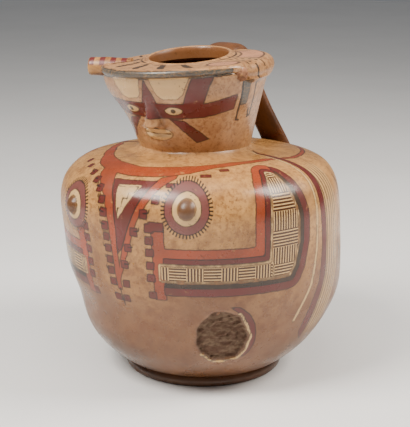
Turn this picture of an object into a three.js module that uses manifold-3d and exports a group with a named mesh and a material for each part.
// An effigy jar of slip-painted pottery: a figure whose round body is the jar and whose head is its neck.
// One fired piece, hollow and empty. Millimetres, +Z up, the figure faces -Y, origin under the foot's middle.
import * as THREE from 'three';
import { mergeVertices } from 'three/addons/utils/BufferGeometryUtils.js';
import Module from 'manifold-3d';

const wasm = await Module();
wasm.setup();

// Driving dimensions. Azimuths are degrees from the figure's front, positive towards its left (+X).
const BODY = { radius: 114, widest: 114, rise: 71.4, drop: 120, lowest: 10.5, plateau: 0.994 };
const BODY_POWER = { shoulder: 4.8, belly: 2.4 };
const CHEST = { swell: 5.8, height: 158, spread: 34 };
const WAIST = { draw: 7.5, height: 67, spread: 22 };
const BACK_EASE = 0.3;
const SHOULDER_TILT = { left: 0.026, back: -0.035, middle: -20, low: 130, full: 176, end: 204 };
const FOOT = { radius: 66, height: 7.5, edge: 2.5, groove: 62, grooveHeight: 9 };
const HEAD = { bottom: 190, top: 252, radius: 44.5, flare: 0.245, swell: 0.001, base: 188 };
const HEAD_SET = { forward: 12.5, slope: 0.155, most: 21.5, from: 172, to: 190 };
const BRIM_TILT = { left: 0.07, back: 0.015, middle: -22, low: 205 };
const LIP_TILT = { left: 0.031, back: 0.0945, low: 258.8, full: 262 };
const TEMPLES = { azimuth: 62, spread: 32, height: 239, tall: 18, swell: 5.5 };
const NECK_FILLET = { radius: 50.5, height: 186.6, rise: 1.6, foot: 2.2 };
const BRIM = { radius: 67, top: 258.8, visorHalf: 3, visorReach: 2, backHalf: 8, visorFrom: 60, visorTo: 80 };
const MOUTH = { radius: 31, lipWidth: 3.6, height: 262, rise: 2 };
const WALL = { side: 6.5, floor: 8, roof: 6.5 };
const FACE = { brow: 232, noseBase: 213, eyes: 226.5, mouth: 206.7, chin: 196, eyeSpacing: 18, radius: 54 };
const NOSE = { bridge: 1.5, tip: 10.5, bridgeHalfWidth: 3.6, tipHalfWidth: 9, underside: 3.2 };
const BREAST = { nipple: 6.4, stand: 4.8, sunk: 2, mound: 2.2, moundSpread: 24 };
const BREAST_PLACES = [{ azimuth: 26, height: 160 }, { azimuth: -25, height: 152 }];
const SCAR = { azimuth: 40, height: 57, halfWidth: 21, halfHeight: 25, depth: 2.6, lean: 14, proud: 3 };
const TUBE = { azimuth: -69, radius: 7.2, height: 250.5, tip: 81, root: 46, bore: 4, boreDepth: 13 };
const STUMP = { azimuth: 69, radius: 6.2, height: 255, reach: 64 };
const STRAP = { width: 25, thickness: 9, flare: 0.12, skew: 22, skewPower: 1.6 };
const STRAP_PATH = [[16, 256.5], [33, 260.5], [47, 257.5], [58, 244], [73, 213], [89, 180], [95, 160]];

// Facet counts: the columns crowd towards the face, and the cavity is coarser than the outside.
const COLUMNS = 60;
const CROWDING = 0.5;
const CAVITY = { columns: 32, bellyRows: 6, rows: 5, plateau: 0.985, throat: [188, 206, 222, 242] };
const BODY_ROWS = 10;
const HEAD_ROWS = 17;
const STRAP_STEPS = 18;
const WELD = 1e-3;

const rad = THREE.MathUtils.degToRad;
const bell = (value, middle, spread) => Math.exp(-(((value - middle) / spread) ** 2));

const headShare = (z) => THREE.MathUtils.smoothstep(z, HEAD_SET.from, HEAD_SET.to);

// How far the middle of a level stands in front of the jar's axis: the head leans forward out of the trunk.
function forward(z) {
  return headShare(z) * Math.min(HEAD_SET.forward + HEAD_SET.slope * (z - HEAD.base), HEAD_SET.most);
}

// What the posture adds to the trunk's radius: the chest swells and the waist draws in, less so behind.
function posture(azimuth, z) {
  const front = Math.cos(rad(azimuth));
  const facing = front < 0 ? front * (1 + BACK_EASE * front) : front;
  const chest = CHEST.swell * bell(z, CHEST.height, CHEST.spread);
  const waist = WAIST.draw * bell(z, WAIST.height, WAIST.spread);
  return (chest - waist) * facing * (1 - headShare(z));
}

// How far a point is lifted: headdress, mouth and shoulders each tilt a little up towards the figure's left.
function lift(x, y, z) {
  const { smoothstep, lerp } = THREE.MathUtils;
  const behind = y - BRIM_TILT.middle;
  const brim = (BRIM_TILT.left * x + BRIM_TILT.back * behind) * smoothstep(z, BRIM_TILT.low, HEAD.top);
  const lip = LIP_TILT.left * x + LIP_TILT.back * behind;
  const shoulderShare = smoothstep(z, SHOULDER_TILT.low, SHOULDER_TILT.full)
    * (1 - smoothstep(z, HEAD.base, SHOULDER_TILT.end));
  const shoulder = SHOULDER_TILT.left * x + SHOULDER_TILT.back * (y - SHOULDER_TILT.middle);
  return lerp(brim, lip, smoothstep(z, LIP_TILT.low, LIP_TILT.full)) + shoulder * shoulderShare;
}

// A quarter of a superellipse as [radius, height] pairs, sampled evenly in its own angle between two levels.
function quarter(radius, middle, reach, power, fromHeight, toHeight, rows) {
  const angleAt = (z) => Math.asin(Math.min(1, Math.abs((z - middle) / reach)) ** (power / 2));
  const [first, last] = [angleAt(fromHeight), angleAt(toHeight)];
  return Array.from({ length: rows + 1 }, (_, i) => {
    const angle = first + ((last - first) * i) / rows;
    return [radius * Math.cos(angle) ** (2 / power), middle + reach * Math.sin(angle) ** (2 / power)];
  });
}

const headRadius = (z) => HEAD.radius + HEAD.flare * (z - HEAD.base) + HEAD.swell * (z - HEAD.base) ** 2;

// The headdress's edge: a thin visor in front, and a thick rounded turn over the sides and back.
const behindVisor = (azimuth) => THREE.MathUtils.smoothstep(Math.abs(azimuth), BRIM.visorFrom, BRIM.visorTo);
const edgeHalf = (azimuth) => THREE.MathUtils.lerp(BRIM.visorHalf, BRIM.backHalf, behindVisor(azimuth));

function edgeAt(azimuth, turn) {
  const half = edgeHalf(azimuth);
  const reach = BRIM.radius + BRIM.visorReach * (1 - behindVisor(azimuth));
  return [reach - half * (1 - Math.cos(rad(turn))), BRIM.top - half + half * Math.sin(rad(turn))];
}

// The outside, from the middle of the underside up to the middle of the closed-over mouth. A level is a
// function of the azimuth that gives its [radius, height]; a plain pair is a level that is alike all round.
function outsideProfile() {
  const { edge } = FOOT;
  const foot = [[0, 0], [FOOT.radius - edge, 0], [FOOT.radius - edge * 0.3, edge * 0.3], [FOOT.radius, edge],
    [FOOT.radius, FOOT.height - edge], [FOOT.radius - edge * 0.4, FOOT.height - edge * 0.3],
    [FOOT.groove, FOOT.grooveHeight]];
  const { radius, widest, rise, drop, lowest } = BODY;
  const plateau = widest + rise * BODY.plateau;
  const belly = quarter(radius, widest, -drop, BODY_POWER.belly, lowest, widest, BODY_ROWS);
  const shoulder = quarter(radius, widest, rise, BODY_POWER.shoulder, widest, plateau, BODY_ROWS);
  const neck = [[NECK_FILLET.radius, NECK_FILLET.height],
    [headRadius(HEAD.base) + NECK_FILLET.foot, NECK_FILLET.height + NECK_FILLET.rise]];
  const head = Array.from({ length: HEAD_ROWS + 1 }, (_, i) => (azimuth) => {
    const top = HEAD.top - 2 * (edgeHalf(azimuth) - BRIM.visorHalf);
    const z = THREE.MathUtils.lerp(HEAD.bottom, top, i / HEAD_ROWS);
    return [headRadius(z) + faceRelief(azimuth, z), z];
  });
  const brim = [-70, -35, 0, 30, 60, 90].map((turn) => (azimuth) => edgeAt(azimuth, turn));
  const lipFoot = MOUTH.radius + MOUTH.lipWidth;
  const roof = [[(BRIM.radius + lipFoot) / 2, BRIM.top + 0.3], [lipFoot + 3, MOUTH.height - MOUTH.rise]];
  const lip = [[lipFoot, MOUTH.height - 0.8], [lipFoot - 1.2, MOUTH.height],
    [MOUTH.radius + 0.8, MOUTH.height], [0, MOUTH.height]];
  return [...foot, ...belly, ...shoulder.slice(1), ...neck, ...head, ...brim, ...roof, ...lip];
}

// The empty inside, from the middle of the floor up through the mouth and clear of the lip.
function cavityProfile() {
  const { widest } = BODY;
  const inner = BODY.radius - WALL.side;
  const floorDrop = widest - WALL.floor;
  const ceiling = BODY.rise - WALL.side;
  const plateau = widest + ceiling * CAVITY.plateau;
  const belly = quarter(inner, widest, -floorDrop, BODY_POWER.belly, WALL.floor, widest, CAVITY.bellyRows);
  const shoulder = quarter(inner, widest, ceiling, BODY_POWER.shoulder, widest, plateau, CAVITY.rows);
  const throat = CAVITY.throat.map((z) => [headRadius(z) - WALL.side, z]);
  const underside = BRIM.top - WALL.roof;
  const roof = [[BRIM.radius - WALL.side - 7, underside - 2], [MOUTH.radius + 2, underside + 1.5]];
  const clear = MOUTH.height + 12;
  const mouth = [[MOUTH.radius, underside + 3], [MOUTH.radius, clear], [0, clear]];
  return [...belly, ...shoulder.slice(1), ...throat, ...roof, ...mouth];
}

// The face stands out from the front of the head: a calm one, on plain proportions of thirds and fifths.
function faceRelief(azimuth, z) {
  const across = rad(azimuth) * FACE.radius;
  const down = (FACE.brow - z) / (FACE.brow - FACE.noseBase);
  const run = THREE.MathUtils.clamp(down, 0, 1);
  const under = Math.max(0, FACE.noseBase - z) / NOSE.underside;
  const halfWidth = NOSE.bridgeHalfWidth + (NOSE.tipHalfWidth - NOSE.bridgeHalfWidth) * run;
  const ridge = (NOSE.bridge + (NOSE.tip - NOSE.bridge) * run ** 1.25) * Math.max(0, 1 - under);
  const above = Math.max(0, z - FACE.brow) / 6;
  const round = Math.cos((Math.min(1, Math.abs(across) / halfWidth) * Math.PI) / 2);
  const nose = ridge * Math.max(0, 1 - above) * round;
  const side = Math.abs(across) - FACE.eyeSpacing;
  const eye = 1.6 * bell(side, 0, 7.5) * bell(z, FACE.eyes, 4.2);
  const brow = 1.5 * bell(side, 0, 13) * bell(z, FACE.brow + 1, 3.5);
  const lips = 3.2 * bell(across, 0, 11) * (bell(z, FACE.mouth + 2.4, 2.4) + bell(z, FACE.mouth - 2.4, 2.6));
  const chin = 2.2 * bell(across, 0, 13) * bell(z, FACE.chin, 5.5);
  const cheeks = 1.4 * bell(Math.abs(across), 26, 10) * bell(z, FACE.noseBase, 9);
  const temples = TEMPLES.swell * bell(Math.abs(azimuth), TEMPLES.azimuth, TEMPLES.spread)
    * bell(z, TEMPLES.height, TEMPLES.tall);
  return nose + eye + brow + lips + chin + cheeks + temples;
}

// The soft mounds of the breasts, raised on the trunk.
function mound(azimuth, z) {
  const mounds = BREAST_PLACES.map((place) => {
    const across = rad(azimuth - place.azimuth) * BODY.radius;
    return BREAST.mound * bell(Math.hypot(across, z - place.height), 0, BREAST.moundSpread);
  });
  return mounds[0] + mounds[1];
}

// A lathe whose levels are shifted forward and tilted, and whose columns crowd towards the front.
function turned(profile, columns, raise) {
  const levels = profile.map((level) => (Array.isArray(level) ? () => level : level));
  const lathe = new THREE.LatheGeometry(levels.map((level) => new THREE.Vector2(...level(0))), columns);
  const position = lathe.attributes.position;
  for (let column = 0; column <= columns; column += 1) {
    const turn = (2 * column) / columns - 1;
    const azimuth = 180 * ((1 - CROWDING) * turn + CROWDING * turn ** 3);
    levels.forEach((level, row) => {
      const [r, z] = level(azimuth);
      const out = r < WELD ? 0 : r + posture(azimuth, z) + raise(azimuth, z);
      const x = out * Math.sin(rad(azimuth));
      const y = -out * Math.cos(rad(azimuth)) - forward(z);
      position.setXYZ(column * levels.length + row, x, y, z + lift(x, y, z));
    });
  }
  return lathe;
}

// Closes a geometry's seams and poles, which three.js leaves as doubled vertices.
function welded(geometry) {
  geometry.deleteAttribute('normal');
  geometry.deleteAttribute('uv');
  return mergeVertices(geometry, WELD);
}

// Makes a closed geometry a solid that can be joined and cut, leaving out the flat triangles at its poles.
function solid(geometry) {
  const closed = welded(geometry);
  const corners = closed.index.array;
  const kept = [];
  for (let i = 0; i < corners.length; i += 3) {
    const [a, b, c] = corners.slice(i, i + 3);
    if (a !== b && b !== c && c !== a) kept.push(a, b, c);
  }
  const vertProperties = new Float32Array(closed.attributes.position.array);
  return new wasm.Manifold(new wasm.Mesh({ numProp: 3, vertProperties, triVerts: new Uint32Array(kept) }));
}

function bufferGeometry(manifold) {
  const { vertProperties, triVerts } = manifold.getMesh();
  const geometry = new THREE.BufferGeometry();
  geometry.setAttribute('position', new THREE.BufferAttribute(new Float32Array(vertProperties), 3));
  geometry.setIndex(new THREE.BufferAttribute(new Uint32Array(triVerts), 1));
  geometry.computeVertexNormals();
  return geometry;
}

// A point on the body's skin, and the direction straight out of it, level with the ground.
function bodyPoint(azimuth, z) {
  const upper = z > BODY.widest;
  const reach = upper ? BODY.rise : BODY.drop;
  const power = upper ? BODY_POWER.shoulder : BODY_POWER.belly;
  const plain = BODY.radius * (1 - Math.abs((z - BODY.widest) / reach) ** power) ** (1 / power);
  const r = plain + posture(azimuth, z) + mound(azimuth, z);
  const x = r * Math.sin(rad(azimuth));
  const y = -r * Math.cos(rad(azimuth)) - forward(z);
  return new THREE.Vector3(x, y, z + lift(x, y, z));
}

function outward(azimuth, z) {
  const along = bodyPoint(azimuth + 1, z).sub(bodyPoint(azimuth - 1, z));
  const up = bodyPoint(azimuth, z + 1).sub(bodyPoint(azimuth, z - 1));
  return along.cross(up).normalize();
}

// Sets a geometry made about its own +Y axis on the body's skin, with +Y straight out.
function onBody(geometry, azimuth, z, sink) {
  const out = outward(azimuth, z);
  const place = new THREE.Object3D();
  place.quaternion.setFromUnitVectors(new THREE.Vector3(0, 1, 0), out);
  place.position.copy(bodyPoint(azimuth, z)).addScaledVector(out, -sink);
  place.updateMatrix();
  return welded(geometry).applyMatrix4(place.matrix);
}

function nipple({ azimuth, height }) {
  const bead = new THREE.SphereGeometry(BREAST.nipple, 14, 10);
  bead.scale(1, (BREAST.stand + BREAST.sunk) / BREAST.nipple, 1);
  return solid(onBody(bead, azimuth, height, BREAST.sunk));
}

// The oval hollow where something that stood out from the lower left of the belly has broken away.
function brokenScar() {
  const cutter = new THREE.CylinderGeometry(1, 0.9, 2 * (SCAR.depth + SCAR.proud), 36);
  cutter.scale(SCAR.halfWidth, 1, SCAR.halfHeight);
  cutter.rotateY(rad(SCAR.lean));
  return solid(onBody(cutter, SCAR.azimuth, SCAR.height, -SCAR.proud));
}

const headAxis = (z) => new THREE.Vector3(0, -forward(z), z);
const level = (azimuth) => new THREE.Vector3(Math.sin(rad(azimuth)), -Math.cos(rad(azimuth)), 0);

// A straight round bar along a level direction from the head's axis.
function bar(azimuth, z, from, to, radius, sides) {
  const cylinder = new THREE.CylinderGeometry(radius, radius, to - from, sides);
  const place = new THREE.Object3D();
  place.quaternion.setFromUnitVectors(new THREE.Vector3(0, 1, 0), level(azimuth));
  place.position.copy(headAxis(z)).addScaledVector(level(azimuth), (from + to) / 2);
  place.updateMatrix();
  return solid(welded(cylinder).applyMatrix4(place.matrix));
}

function brokenStump() {
  const knob = new THREE.IcosahedronGeometry(STUMP.radius, 2);
  const place = headAxis(STUMP.height).addScaledVector(level(STUMP.azimuth), STUMP.reach);
  return solid(welded(knob).translate(place.x, place.y, place.z));
}

// The strap handle leaves the headdress behind the mouth and comes down to the back of the shoulder.
function strapHandle() {
  const [w, t] = [STRAP.width / 2, STRAP.thickness / 2];
  const section = new THREE.Shape();
  section.absellipse(w - t, 0, t, t, -Math.PI / 2, Math.PI / 2);
  section.absellipse(-(w - t), 0, t, t, Math.PI / 2, (3 * Math.PI) / 2);
  const spine = new THREE.CatmullRomCurve3(STRAP_PATH.map(([y, z]) => new THREE.Vector3(0, y, z)));
  const run = { steps: STRAP_STEPS, curveSegments: 4, extrudePath: spine };
  const strap = new THREE.ExtrudeGeometry(section, run);
  const position = strap.attributes.position;
  const [highest, lowest] = [STRAP_PATH[1][1], STRAP_PATH.at(-1)[1]];
  for (let i = 0; i < position.count; i += 1) {
    const fall = THREE.MathUtils.clamp((highest - position.getZ(i)) / (highest - lowest), 0, 1);
    const spread = 1 + STRAP.flare * (2 * fall - 1) ** 2;
    position.setX(i, position.getX(i) * spread + STRAP.skew * fall ** STRAP.skewPower);
  }
  return solid(strap);
}

function effigyJar() {
  const outside = solid(turned(outsideProfile(), COLUMNS, mound));
  const cavity = solid(turned(cavityProfile(), CAVITY.columns, () => 0));
  const tube = bar(TUBE.azimuth, TUBE.height, TUBE.root, TUBE.tip, TUBE.radius, 18);
  const bore = bar(TUBE.azimuth, TUBE.height, TUBE.tip - TUBE.boreDepth, TUBE.tip + 2, TUBE.bore, 14);
  return [tube, brokenStump(), strapHandle(), ...BREAST_PLACES.map(nipple)]
    .reduce((jar, piece) => jar.add(piece), outside)
    .subtract(cavity)
    .subtract(bore)
    .subtract(brokenScar());
}

const clay = new THREE.MeshStandardMaterial({ color: 0xc58a56, roughness: 0.42, metalness: 0 });
const jar = new THREE.Mesh(bufferGeometry(effigyJar()), clay);
jar.name = 'effigy_jar';

const group = new THREE.Group();
group.add(jar);
export default group;
